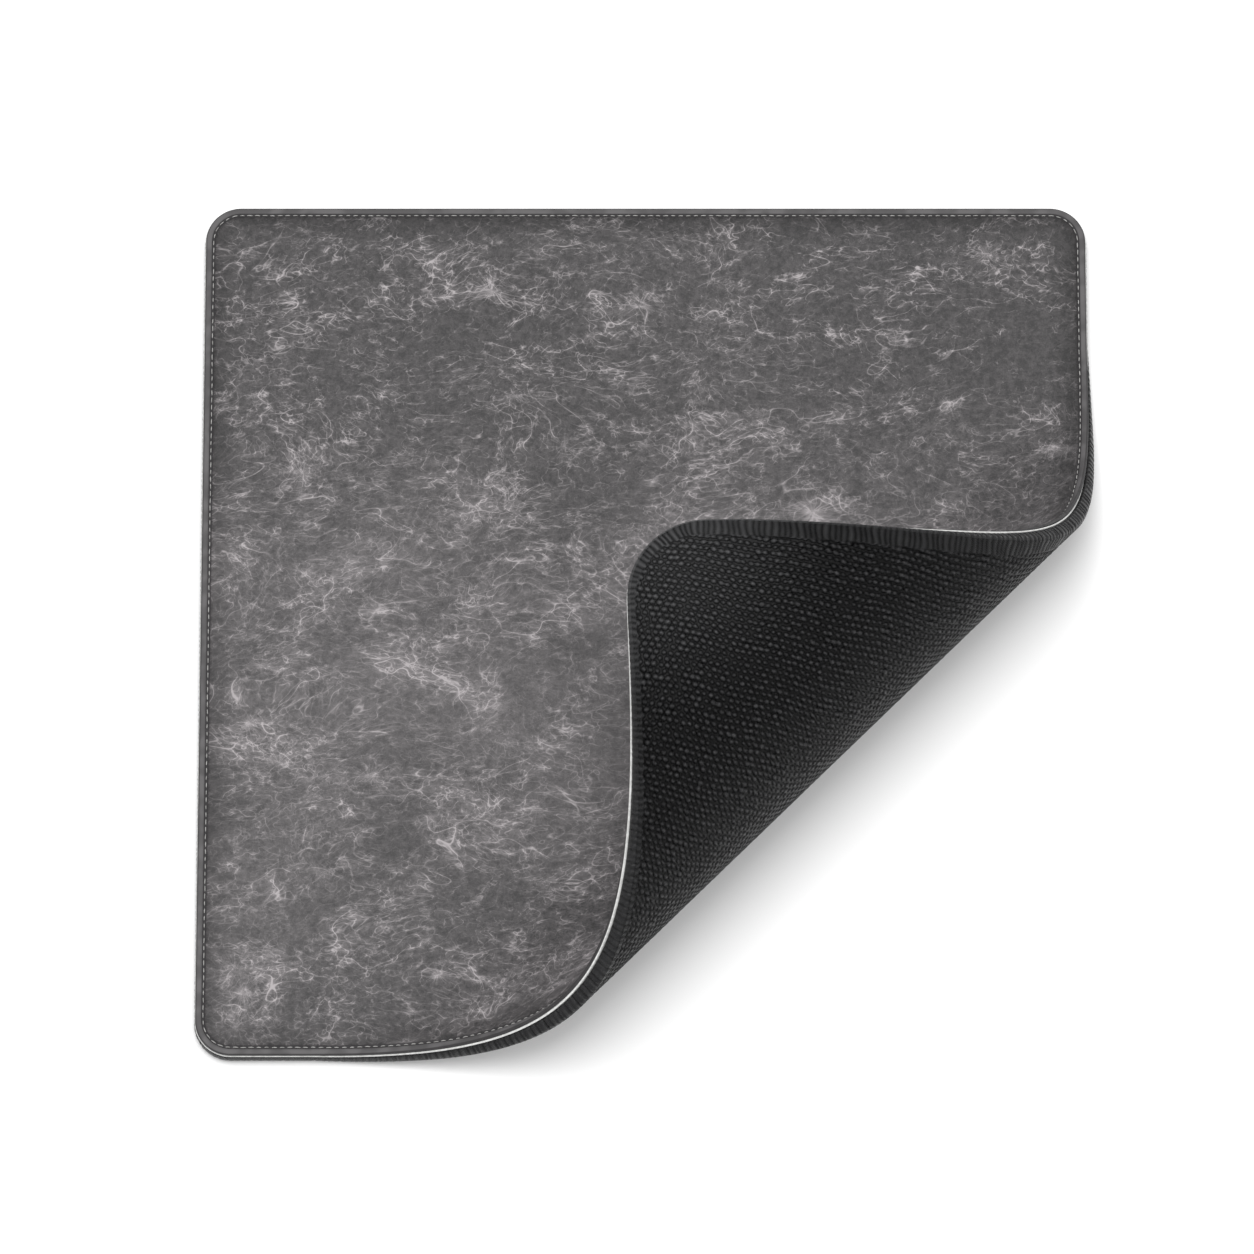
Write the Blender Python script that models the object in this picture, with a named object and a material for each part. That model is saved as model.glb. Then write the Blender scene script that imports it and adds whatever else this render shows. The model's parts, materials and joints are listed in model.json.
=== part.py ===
"""Flexible square desk mat with one corner rolled back over its top.

The mat is a laminate: a textured rubber base, a thin white core and a leather-look skin, with a
stitch line just inside the edge. It lies on the XY plane, +Z up, its middle at the origin. The
corner at +X -Y is lifted and rolled towards -X +Y.

The roll is a cone. Its bend lines all pass through one point far beyond the right-hand edge, so
every layer unrolls to a flat sheet. The bend is shared out over straight fold lines: each one is a
hinge, and the layers are cut there into a flat field, a row of strips and a tip. Every piece is
drawn flat, then carried round the roll by a chain of empties, one on each fold line.
"""

import math

import bmesh
import bpy
from mathutils import Matrix, Vector

# Mat outline
MAT_SIDE = 0.250
CORNER_RADIUS = 0.010
ROLLED_CORNER_RADIUS = 0.022
ARC_STEPS = 8

# Layers, from the table up
RUBBER_THICKNESS = 0.0038
CORE_THICKNESS = 0.0008
SKIN_THICKNESS = 0.0008
LAYER_GAP = 0.0003

# Stitch line on the skin
STITCH_INSET = 0.0022
THREAD_WIDTH = 0.0006
THREAD_THICKNESS = 0.0003

# Roll: where the mat leaves the table, measured from the rolled corner along each edge
LIFT_ALONG_FRONT = 0.2168
LIFT_ALONG_RIGHT = 0.2095
CONE_REACH = 1.66
FLAT_TIP = 0.012
FOLD_COUNT = 9
ROLL_TURN = math.radians(178.5)
TIGHTEST_FOLD = 4.40
FOLD_SPREAD = 0.326
CUT_GAP = 0.0003

HALF_SIDE = MAT_SIDE / 2
CORE_BOTTOM = RUBBER_THICKNESS + LAYER_GAP
SKIN_BOTTOM = CORE_BOTTOM + CORE_THICKNESS + LAYER_GAP
THREAD_BOTTOM = SKIN_BOTTOM + SKIN_THICKNESS + LAYER_GAP
HINGE_HEIGHT = THREAD_BOTTOM + THREAD_THICKNESS
FOLD_TURN = ROLL_TURN / FOLD_COUNT

FINISHES = {
    "rubber_base": ((0.020, 0.020, 0.020), 0.62),
    "white_core": ((0.78, 0.78, 0.76), 0.70),
    "top_skin": ((0.130, 0.125, 0.127), 0.48),
    "needle_thread": ((0.36, 0.35, 0.34), 0.60),
}


def clear_scene():
    for item in list(bpy.data.objects):
        bpy.data.objects.remove(item, do_unlink=True)


def make_material(name):
    colour, roughness = FINISHES[name]
    material = bpy.data.materials.new(name)
    material.use_nodes = True
    shader = material.node_tree.nodes["Principled BSDF"]
    shader.inputs["Base Color"].default_value = (*colour, 1.0)
    shader.inputs["Roughness"].default_value = roughness
    shader.inputs["Metallic"].default_value = 0.0
    return material


def apex_of_bends():
    """The point that every fold line passes through, and the direction in which bending starts."""
    on_front = Vector((HALF_SIDE - LIFT_ALONG_FRONT, -HALF_SIDE))
    on_right = Vector((HALF_SIDE, LIFT_ALONG_RIGHT - HALF_SIDE))
    direction = (on_front - on_right).normalized()
    return on_right - direction * CONE_REACH, math.atan2(direction.y, direction.x)


def fold_angles():
    """The direction of each fold line from the apex; folds are closest where the roll is tightest."""
    apex, start = apex_of_bends()
    centre = Vector((HALF_SIDE - ROLLED_CORNER_RADIUS, ROLLED_CORNER_RADIUS - HALF_SIDE)) - apex
    reach = centre.length
    tip = math.atan2(centre.y, centre.x) + math.asin(ROLLED_CORNER_RADIUS / reach)
    spread = tip - start - FLAT_TIP / reach
    shares = [math.cosh(FOLD_SPREAD * (i + 1 - TIGHTEST_FOLD)) for i in range(FOLD_COUNT)]
    angles = []
    edge = start
    for share in shares:
        width = spread * share / sum(shares)
        angles.append(edge + width / 2)
        edge += width
    return angles


def fold_frame(angle):
    """Flat-sheet frame of a fold line: X along it, Y towards the tip, at the hinge height."""
    apex, _ = apex_of_bends()
    along = Vector((math.cos(angle), math.sin(angle)))
    to_front = (-HALF_SIDE - apex.y) / along.y
    to_right = (HALF_SIDE - apex.x) / along.x
    middle = apex + along * (to_front + to_right) / 2
    return Matrix.Translation((middle.x, middle.y, HINGE_HEIGHT)) @ Matrix.Rotation(angle, 4, "Z")


def rounded_outline(inset):
    """Outline of the mat in the flat, drawn inwards by inset, counter-clockwise from above."""
    half = HALF_SIDE - inset
    points = []
    for quarter in range(4):
        turn = Matrix.Rotation(quarter * math.pi / 2, 2)
        radius = (ROLLED_CORNER_RADIUS if quarter == 3 else CORNER_RADIUS) - inset
        for step in range(ARC_STEPS + 1):
            bend = step * math.pi / 2 / ARC_STEPS
            corner = Vector((half - radius + radius * math.cos(bend),
                             half - radius + radius * math.sin(bend)))
            points.append(turn @ corner)
    return points


def draw_loop(bm, inset, height):
    verts = [bm.verts.new((p.x, p.y, height)) for p in rounded_outline(inset)]
    edges = [bm.edges.new((verts[i - 1], verts[i])) for i in range(len(verts))]
    return verts, edges


def keep_beyond(bm, frame, side):
    """Trim the flat drawing at a fold line; side is +1 to keep the tip's side, -1 the field's."""
    normal = frame.to_3x3() @ Vector((0, side, 0))
    point = frame.translation + normal * CUT_GAP / 2
    everything = bm.verts[:] + bm.edges[:] + bm.faces[:]
    bmesh.ops.bisect_plane(bm, geom=everything, plane_co=point, plane_no=normal,
                           clear_inner=True)


def islands(bm):
    """Groups of faces that hang together."""
    left = set(bm.faces)
    groups = []
    while left:
        group = set()
        queue = [left.pop()]
        while queue:
            face = queue.pop()
            group.add(face)
            for edge in face.edges:
                for other in edge.link_faces:
                    if other in left:
                        left.remove(other)
                        queue.append(other)
        groups.append(group)
    return groups


def sheet_drawing(inset, height, band_width=None):
    """A flat face of the mat's outline, or a band of the given width along it."""
    bm = bmesh.new()
    verts, edges = draw_loop(bm, inset, height)
    if band_width is None:
        bm.faces.new(verts)
    else:
        _, inner = draw_loop(bm, inset + band_width, height)
        bmesh.ops.bridge_loops(bm, edges=edges + inner)
    bmesh.ops.recalc_face_normals(bm, faces=bm.faces)
    return bm


def build_piece(bm, name, material, thickness, frame, holder):
    """Give the drawing its thickness and hang it on the empty of its fold line."""
    grown = bmesh.ops.extrude_face_region(bm, geom=bm.faces[:])
    raised = [item for item in grown["geom"] if isinstance(item, bmesh.types.BMVert)]
    bmesh.ops.translate(bm, verts=raised, vec=(0, 0, thickness))
    bmesh.ops.recalc_face_normals(bm, faces=bm.faces)
    bm.transform(frame.inverted())
    mesh = bpy.data.meshes.new(name)
    bm.to_mesh(mesh)
    bm.free()
    mesh.materials.append(material)
    piece = bpy.data.objects.new(name, mesh)
    bpy.context.collection.objects.link(piece)
    piece.parent = holder


def make_hinges(frames):
    """One empty for the flat field, then one on each fold line, each turned by its share."""
    holders = []
    for i, frame in enumerate(frames):
        holder = bpy.data.objects.new("field_frame" if i == 0 else f"fold_{i}_axis", None)
        holder.empty_display_size = 0.02
        bpy.context.collection.objects.link(holder)
        if i > 0:
            holder.parent = holders[-1]
            turn = Matrix.Rotation(FOLD_TURN, 4, "X")
            holder.matrix_local = frames[i - 1].inverted() @ frame @ turn
        holders.append(holder)
    return holders


def trimmed(bm, frames, i):
    if i > 0:
        keep_beyond(bm, frames[i], 1)
    if i + 1 < len(frames):
        keep_beyond(bm, frames[i + 1], -1)
    return bm


def section_name(i):
    if i == 0:
        return "flat"
    return "tip" if i == FOLD_COUNT else f"strip_{i}"


def build_layer(name, bottom, thickness, frames, holders):
    material = make_material(name)
    for i, holder in enumerate(holders):
        bm = trimmed(sheet_drawing(0.0, bottom), frames, i)
        build_piece(bm, f"{name}_{section_name(i)}", material, thickness, frames[i], holder)


def build_thread(frames, holders):
    """The stitch line crosses each strip twice, near the front edge and near the right-hand one."""
    name = "needle_thread"
    material = make_material(name)
    inset = STITCH_INSET - THREAD_WIDTH / 2
    for i, holder in enumerate(holders):
        whole = trimmed(sheet_drawing(inset, THREAD_BOTTOM, THREAD_WIDTH), frames, i)
        whole.faces.index_update()
        runs = islands(whole)
        for run in runs:
            part = whole.copy()
            kept = {face.index for face in run}
            unwanted = [face for face in part.faces if face.index not in kept]
            bmesh.ops.delete(part, geom=unwanted, context="FACES")
            middle = sum((v.co for v in part.verts), Vector()) / len(part.verts)
            side = "front" if middle.x + middle.y < frames[i].translation.xy.dot((1, 1)) else "right"
            label = section_name(i) if len(runs) == 1 else f"{side}_{i}"
            build_piece(part, f"{name}_{label}", material, THREAD_THICKNESS, frames[i], holder)
        whole.free()


def main():
    clear_scene()
    frames = [Matrix.Identity(4)] + [fold_frame(angle) for angle in fold_angles()]
    holders = make_hinges(frames)
    build_layer("rubber_base", 0.0, RUBBER_THICKNESS, frames, holders)
    build_layer("white_core", CORE_BOTTOM, CORE_THICKNESS, frames, holders)
    build_layer("top_skin", SKIN_BOTTOM, SKIN_THICKNESS, frames, holders)
    build_thread(frames, holders)
    bpy.context.view_layer.update()


main()
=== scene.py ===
import json
import math

import bmesh
import bpy
import numpy as np
from mathutils import Matrix, Vector

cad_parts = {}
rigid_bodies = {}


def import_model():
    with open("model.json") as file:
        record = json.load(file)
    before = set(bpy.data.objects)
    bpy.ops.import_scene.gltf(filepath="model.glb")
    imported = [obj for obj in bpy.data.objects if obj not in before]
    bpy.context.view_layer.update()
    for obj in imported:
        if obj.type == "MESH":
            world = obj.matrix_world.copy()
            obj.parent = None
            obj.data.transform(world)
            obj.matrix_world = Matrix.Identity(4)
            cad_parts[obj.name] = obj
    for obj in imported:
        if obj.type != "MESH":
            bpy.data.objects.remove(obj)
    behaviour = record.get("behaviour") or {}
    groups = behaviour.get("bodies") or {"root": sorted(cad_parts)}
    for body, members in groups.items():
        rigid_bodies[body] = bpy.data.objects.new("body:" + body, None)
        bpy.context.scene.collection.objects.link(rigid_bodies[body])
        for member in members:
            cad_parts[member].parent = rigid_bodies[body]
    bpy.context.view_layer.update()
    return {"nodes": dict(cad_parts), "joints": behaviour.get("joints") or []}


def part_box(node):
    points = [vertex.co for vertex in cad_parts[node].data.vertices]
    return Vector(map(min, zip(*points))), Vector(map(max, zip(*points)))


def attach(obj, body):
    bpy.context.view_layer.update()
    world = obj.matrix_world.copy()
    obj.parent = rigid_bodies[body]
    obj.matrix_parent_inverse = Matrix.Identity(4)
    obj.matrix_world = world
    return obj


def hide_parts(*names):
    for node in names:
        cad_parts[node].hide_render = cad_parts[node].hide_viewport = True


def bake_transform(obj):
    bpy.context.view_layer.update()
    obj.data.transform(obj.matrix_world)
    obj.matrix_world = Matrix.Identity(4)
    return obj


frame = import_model()
print("frame loaded:", len(frame["nodes"]), "nodes")

# Every piece is drawn as it lies in the flat mat, in metres: u to the right, v away, z up.
# It is rolled afterwards, so that its pattern and its seams stay where they were cut.
mat = {
    "cornerRadius": 0.010,
    "rolledCornerRadius": 0.022,
    "cornerSteps": 20,
    "liftAlongFront": 0.2168,     # from the rolled corner to where the front edge leaves the table
    "rubberRise": 0.00025,        # how far the visible rubber stands up into the gap over the CAD rubber
}

hinges = frame["joints"]
bodies = [hinges[0]["parent"]] + [hinge["child"] for hinge in hinges]
foldCount = len(hinges)
foldTurn = math.radians(hinges[0]["range_deg"][1])
hingeHeight = hinges[0]["pos_m"][2]
halfSide = -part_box("top_skin_flat")[0].x
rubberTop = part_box("rubber_base_flat")[1].z
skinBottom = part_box("top_skin_flat")[0].z
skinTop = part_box("top_skin_flat")[1].z


def turnAbout(point, axis, angle):
    return Matrix.Translation(point) @ Matrix.Rotation(angle, 4, axis) @ Matrix.Translation(-point)


def eased(value, low, high):
    # 0 below low and 1 above high, with a soft start and end
    share = np.clip((value - low) / (high - low), 0, 1)
    return share * share * (3 - 2 * share)


def unrollHinges():
    # carried[i] takes a point of the flat drawing to where body i holds it in the rolled mat
    carried, lines = [Matrix.Identity(4)], []
    for hinge in hinges:
        point, axis = Vector(hinge["pos_m"]), Vector(hinge["axis"])
        back = carried[-1].inverted()
        lines.append((back @ point, back.to_3x3() @ axis))
        carried.append(turnAbout(point, axis, -foldTurn) @ carried[-1])
    return carried, lines


def meetingPoint(lines):
    # where all fold lines of the flat drawing cross, by least squares
    rows = np.array([(-axis.y, axis.x) for _, axis in lines])
    sides = np.array([-axis.y * point.x + axis.x * point.y for point, axis in lines])
    return np.linalg.lstsq(rows, sides, rcond=None)[0]


carried, foldLines = unrollHinges()
apex = meetingPoint(foldLines)
foldAngles = [math.atan2(-axis.y, -axis.x) % (2 * math.pi) for _, axis in foldLines]
liftPoint = np.array([halfSide - mat["liftAlongFront"], -halfSide]) - apex
bendEdges = [math.atan2(liftPoint[1], liftPoint[0]) % (2 * math.pi)]
for angle in foldAngles:
    bendEdges.append(2 * angle - bendEdges[-1])
cornerMiddle = np.array([halfSide - mat["rolledCornerRadius"], mat["rolledCornerRadius"] - halfSide])
cornerSpan = np.linalg.norm(cornerMiddle - apex)
tipAngle = (math.atan2(*(cornerMiddle - apex)[::-1]) % (2 * math.pi)
            + math.asin(mat["rolledCornerRadius"] / cornerSpan))
print("roll read back: apex", apex.round(4), "bends", np.degrees(np.diff(bendEdges)).round(3))


def turnVectors(axis, vectors, angles):
    c, s = np.cos(angles)[:, None], np.sin(angles)[:, None]
    return vectors * c + np.cross(axis, vectors) * s + np.outer(np.sum(vectors * axis, 1), axis) * (1 - c)


def rollPoints(flat, part):
    # part 0 is the flat field, 1 to foldCount are the bends, and the one after them is the tip
    if part == 0:
        return flat.copy()
    if part > foldCount:
        home = np.array(carried[-1])
        return flat @ home[:3, :3].T + home[:3, 3]
    edge, half = bendEdges[part - 1], foldAngles[part - 1] - bendEdges[part - 1]
    reach = np.hypot(flat[:, 0] - apex[0], flat[:, 1] - apex[1])
    angles = np.arctan2(flat[:, 1] - apex[1], flat[:, 0] - apex[0]) % (2 * math.pi)
    # a round cone that touches the flat sheet before the fold and after it
    lean = math.atan2(math.sin(half), math.tan(foldTurn / 2))
    sweep = 2 * math.atan2(math.tan(half), math.sin(lean))
    ray, up = np.array([math.cos(edge), math.sin(edge), 0.0]), np.array([0.0, 0.0, 1.0])
    coneAxis = math.cos(lean) * ray + math.sin(lean) * up
    turn = -sweep * (angles - edge) / (2 * half)
    if np.dot(np.cross(coneAxis, ray), [-math.sin(edge), math.cos(edge), 0.0]) > 0:
        turn = -turn
    rays = turnVectors(coneAxis, np.tile(ray, (len(flat), 1)), turn)
    ups = turnVectors(coneAxis, np.tile(up, (len(flat), 1)), turn)
    rolled = rays * reach[:, None] + ups * (flat[:, 2] - hingeHeight)[:, None]
    rolled += np.array([apex[0], apex[1], hingeHeight])
    home = np.array(carried[part - 1])
    return rolled @ home[:3, :3].T + home[:3, 3]


def outline(inset, steps):
    # the mat's outline drawn inwards, counter-clockwise; the last corner is the rolled one
    points = []
    half = halfSide - inset
    for quarter, radius in enumerate([mat["cornerRadius"]] * 3 + [mat["rolledCornerRadius"]]):
        radius = max(radius - inset, 0.0004)
        bend = np.linspace(0, math.pi / 2, steps + 1)
        corner = np.stack([half - radius + radius * np.cos(bend), half - radius + radius * np.sin(bend)], 1)
        c, s = [(1, 0), (0, 1), (-1, 0), (0, -1)][quarter]
        points.append(corner @ np.array([[c, s], [-s, c]]))
    return np.concatenate(points)


def nearEdge(u, v):
    # the corner radius there, the distances in from the side and the end, the turn round the corner
    # in radians, and whether the point lies in a corner; the rolled corner is the roundest
    radius = np.where((u > 0) & (v < 0), mat["rolledCornerRadius"], mat["cornerRadius"])
    side, end = halfSide - np.abs(u), halfSide - np.abs(v)
    turn = np.arctan2(np.maximum(radius - end, 0), np.maximum(radius - side, 1e-9))
    return radius, side, end, turn, (side < radius) & (end < radius)


def insetOf(u, v):
    # distance inwards from the edge
    radius, side, end, _, inCorner = nearEdge(u, v)
    away = np.hypot(np.maximum(radius - side, 0), np.maximum(radius - end, 0))
    return np.where(inCorner, radius - away, np.minimum(side, end))


def alongEdge(u, v):
    # length along the nearest edge, running on round the corner
    radius, side, end, turn, inCorner = nearEdge(u, v)
    straight = np.where(side < end, radius - end, radius * math.pi / 2 + side - radius)
    return np.where(inCorner, radius * turn, straight)


def makePiece(name, mesh, part, material, nodes, held=None, overhang=0.0, sharpFrom=50):
    flat = np.empty(len(mesh.vertices) * 3)
    mesh.vertices.foreach_get("co", flat)
    flat = flat.reshape(-1, 3)
    place = mesh.attributes.new("flatPlace", "FLOAT_VECTOR", "POINT")
    place.data.foreach_set("vector", flat.astype(np.float32).ravel())
    rolled = rollPoints(flat, part)
    mesh.vertices.foreach_set("co", rolled.astype(np.float32).ravel())
    mesh.update()
    mesh.shade_smooth()
    mesh.set_sharp_from_angle(angle=math.radians(sharpFrom))
    mesh.materials.append(material)
    piece = bpy.data.objects.new(name, mesh)
    bpy.context.scene.collection.objects.link(piece)
    if part == 0:
        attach(piece, bodies[0])
    elif part > foldCount:
        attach(piece, bodies[-1])
    else:
        start, end = blendSpan(part)
        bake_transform(piece)
    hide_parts(*[node for node in nodes if node in frame["nodes"]])
    if held:
        flatSize, area = flatOf(part, overhang)
    return piece


def rayEnds(angle, inset=0.0):
    # how far from the apex a ray crosses the right edge and the front edge
    right = (halfSide - inset - apex[0]) / math.cos(angle)
    front = (inset - halfSide - apex[1]) / math.sin(angle)
    return right, front


def blendSpan(part):
    # the bend as wide as its narrow end, in the middle of the strip, at the hinge height
    before, after = bendEdges[part - 1], bendEdges[part]
    narrow, wide = rayEnds(foldAngles[part - 1])
    middle = (narrow + wide) / 2
    ends = np.array([[apex[0] + middle * math.cos(a), apex[1] + middle * math.sin(a), hingeHeight]
                     for a in (before, after)])
    ends = rollPoints(ends, part)
    centre = ends.mean(0)
    return [tuple(centre + (end - centre) * narrow / middle) for end in ends]


def clippedArea(low, high, overhang):
    # flat area of a layer between two rays from the apex
    points = outline(-overhang, mat["cornerSteps"])
    bm = bmesh.new()
    bm.faces.new([bm.verts.new((p[0], p[1], 0)) for p in points])
    cutByRays(bm, low, high)
    area = sum(face.calc_area() for face in bm.faces)
    spread = np.array([vert.co[:2] for vert in bm.verts])
    bm.free()
    return area, spread


def flatOf(part, overhang):
    low = None if part == 0 else bendEdges[part - 1]
    high = None if part > foldCount else bendEdges[part]
    area, points = clippedArea(low, high, overhang)
    if part == 0:
        size = np.ptp(points, axis=0)
    else:
        ray = np.array([math.cos(bendEdges[part - 1]), math.sin(bendEdges[part - 1])])
        across = np.array([-ray[1], ray[0]])
        size = np.array([np.ptp(points @ ray), np.ptp(points @ across)])
    return tuple(float(x) for x in size), area


def cutByRays(bm, low, high):
    # low is the ray to keep beyond, high the ray to keep before; None leaves that side whole
    cuts = []
    for angle, side in ((low, 1), (high, -1)):
        if angle is None:
            continue
        normal = Vector((-math.sin(angle), math.cos(angle), 0)) * side
        everything = bm.verts[:] + bm.edges[:] + bm.faces[:]
        made = bmesh.ops.bisect_plane(bm, geom=everything, dist=1e-7, plane_co=(apex[0], apex[1], 0),
                                      plane_no=normal, clear_inner=True)
        cuts.append([item for item in made["geom_cut"] if isinstance(item, bmesh.types.BMEdge)])
    return cuts


def ringSolid(profile, part):
    # profile is a list of (inset, height) from the middle of the underside, round the edge, to the top
    bm = bmesh.new()
    insetLayer = bm.verts.layers.float.new("inset")
    loops = []
    for inset, height in profile:
        ring = [bm.verts.new((p[0], p[1], height)) for p in outline(inset, mat["cornerSteps"])]
        for vert in ring:
            vert[insetLayer] = inset
        loops.append(ring)
    count = len(loops[0])
    for below, above in zip(loops, loops[1:]):
        for i in range(count):
            bm.faces.new((below[i - 1], below[i], above[i], above[i - 1]))
    bm.faces.new(loops[0][::-1])
    bm.faces.new(loops[-1])
    low = bendEdges[-1] if part else None
    high = None if part else bendEdges[0]
    for cut in cutByRays(bm, low, high):
        bmesh.ops.contextual_create(bm, geom=cut)
    bmesh.ops.recalc_face_normals(bm, faces=bm.faces)
    mesh = bpy.data.meshes.new("ringSolid")
    bm.to_mesh(mesh)
    bm.free()
    return mesh


def closedMesh(name, points, faces, attribute, values, cutAt=None):
    # a solid with one number for each point, cut off beyond a ray from the apex if one is given
    mesh = bpy.data.meshes.new(name)
    mesh.from_pydata(points.tolist(), [], faces)
    layer = mesh.attributes.new(attribute, "FLOAT", "POINT")
    layer.data.foreach_set("value", values.astype(np.float32).ravel())
    bm = bmesh.new()
    bm.from_mesh(mesh)
    for cut in cutByRays(bm, None, cutAt):
        bmesh.ops.contextual_create(bm, geom=cut)
    bmesh.ops.recalc_face_normals(bm, faces=bm.faces)
    bm.to_mesh(mesh)
    bm.free()
    return mesh


def meshFromGrid(points, attribute, values):
    # points is rows x loop x 3: every row is a closed section, and the rows run across the bend
    rows, loop = points.shape[:2]
    index = np.arange(rows * loop).reshape(rows, loop)
    after = np.roll(index, -1, axis=1)
    faces = np.stack([index[:-1], after[:-1], after[1:], index[1:]], -1).reshape(-1, 4).tolist()
    faces.append(index[0][::-1].tolist())
    faces.append(index[-1].tolist())
    return closedMesh("gridSolid", points.reshape(-1, 3), faces, attribute, values)


def bendSolid(profileAt, part, rowLength, inner):
    # the same profile as ringSolid, drawn section by section across one bend
    low, high = bendEdges[part - 1], bendEdges[part]
    wide = rayEnds(foldAngles[part - 1])[1]
    rows = max(3, round((high - low) * wide / rowLength)) + 1
    sections, insets = [], []
    for angle in np.linspace(low, high, rows):
        profile, frontProfile = profileAt(angle, False), profileAt(angle, True)
        right = [rayEnds(angle, inset)[0] for inset, _ in profile]
        front = [rayEnds(angle, inset)[1] for inset, _ in frontProfile]
        heights = [height for _, height in profile]
        depth = [inset for inset, _ in profile]
        across = np.linspace(right[-1], front[-1], inner + 2)[1:-1]
        back = np.linspace(front[0], right[0], inner + 2)[1:-1]
        reach = np.concatenate([right, across, front[::-1], back])
        height = np.concatenate([heights, np.full(inner, heights[-1]), heights[::-1],
                                 np.full(inner, heights[0])])
        depth = np.concatenate([depth, np.full(inner, depth[-1]), depth[::-1], np.full(inner, depth[0])])
        sections.append(np.stack([apex[0] + reach * math.cos(angle), apex[1] + reach * math.sin(angle),
                                  height], 1))
        insets.append(depth)
    return meshFromGrid(np.array(sections), "inset", np.array(insets))


def partNodes(layer, part):
    if part == 0:
        return [f"{layer}_flat"]
    if part > foldCount:
        return [f"{layer}_tip"]
    return [f"{layer}_strip_{part}", f"{layer}_front_{part}", f"{layer}_right_{part}"]


def partName(part):
    if part == 0:
        return "field"
    return "tip" if part > foldCount else f"bend_{part}"


def newMaterial(name):
    material = bpy.data.materials.new(name)
    material.use_nodes = True
    nodes = material.node_tree.nodes
    nodes.clear()
    shader = nodes.new("ShaderNodeBsdfPrincipled")
    output = nodes.new("ShaderNodeOutputMaterial")
    material.node_tree.links.new(shader.outputs[0], output.inputs["Surface"])
    return material, material.node_tree, shader


def addNode(tree, kind, settings=None, **inputs):
    # inputs are sockets by name with _ for a space; a value is a number, a tuple or another socket
    node = tree.nodes.new("ShaderNode" + kind)
    for key, value in (settings or {}).items():
        setattr(node, key, value)
    for key, value in inputs.items():
        connect(tree, node.inputs[int(key[1:])] if key[1:].isdigit() else node.inputs[key.replace("_", " ")],
                value)
    return node


def connect(tree, socket, value):
    if isinstance(value, bpy.types.NodeSocket):
        tree.links.new(value, socket)
    else:
        socket.default_value = value


def operationNode(tree, kind, operation, values):
    inputs = {f"i{slot}": value for slot, value in enumerate(values)}
    return addNode(tree, kind, {"operation": operation}, **inputs).outputs


def mathNode(tree, operation, *values):
    return operationNode(tree, "Math", operation, values)[0]


def vectorNode(tree, operation, *values, output="Vector"):
    return operationNode(tree, "VectorMath", operation, values)[output]


def times(tree, a, b):
    return mathNode(tree, "MULTIPLY", a, b)


def plus(tree, a, b):
    return mathNode(tree, "ADD", a, b)


def attributeOf(tree, name, output="Fac"):
    return addNode(tree, "Attribute", {"attribute_name": name}).outputs[output]


def ramp(tree, value, low, high, outLow=0.0, outHigh=1.0):
    node = addNode(tree, "MapRange", {"interpolation_type": "SMOOTHSTEP"}, Value=value, From_Min=low,
                   From_Max=high, To_Min=outLow, To_Max=outHigh)
    return node.outputs[0]


def mixColour(tree, share, a, b, blendType="MIX"):
    node = addNode(tree, "Mix", {"data_type": "RGBA", "blend_type": blendType})
    connect(tree, node.inputs[0], share)
    connect(tree, node.inputs[6], a)
    connect(tree, node.inputs[7], b)
    return node.outputs[2]


def noise(tree, vector, scale, detail, rough=0.5, output=0):
    node = addNode(tree, "TexNoise", None, Vector=vector, Scale=scale, Detail=detail, Roughness=rough)
    return node.outputs[output]


def flatMillimetres(tree):
    place = attributeOf(tree, "flatPlace", "Vector")
    return addNode(tree, "VectorMath", {"operation": "SCALE"}, i0=place, Scale=1000.0).outputs[0]


def warp(tree, vector, scale, amount, detail=2.0):
    push = noise(tree, vector, scale, detail, output=1)
    centred = vectorNode(tree, "SUBTRACT", push, (0.5, 0.5, 0.5))
    return vectorNode(tree, "MULTIPLY_ADD", centred, (amount, amount, amount), vector)


def surfaceGrain():
    # two sizes of grain that every layer of the mat has, in cells per millimetre of the flat sheet
    group = bpy.data.node_groups.new("surfaceGrain", "ShaderNodeTree")
    group.interface.new_socket("Place", in_out="INPUT", socket_type="NodeSocketVector")
    for name, start in (("Coarse Scale", 1.0), ("Fine Scale", 5.0), ("Roughness", 0.65)):
        socket = group.interface.new_socket(name, in_out="INPUT", socket_type="NodeSocketFloat")
        socket.default_value = start
    for name in ("Coarse", "Fine"):
        group.interface.new_socket(name, in_out="OUTPUT", socket_type="NodeSocketFloat")
    given = group.nodes.new("NodeGroupInput").outputs
    result = group.nodes.new("NodeGroupOutput").inputs
    for name in ("Coarse", "Fine"):
        level = noise(group, given["Place"], given[name + " Scale"], 4.0, given["Roughness"])
        group.links.new(level, result[name])
    return group


def grain(tree, place, coarse, fine, rough):
    node = tree.nodes.new("ShaderNodeGroup")
    node.node_tree = bpy.data.node_groups["surfaceGrain"]
    settings = {"Place": place, "Coarse Scale": coarse, "Fine Scale": fine, "Roughness": rough}
    for name, value in settings.items():
        connect(tree, node.inputs[name], value)
    return node.outputs["Coarse"], node.outputs["Fine"]


def bumpNode(tree, height, strength, distance, normal=None):
    node = addNode(tree, "Bump", None, Height=height, Strength=strength, Distance=distance)
    if normal is not None:
        tree.links.new(normal, node.inputs["Normal"])
    return node.outputs[0]


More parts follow.
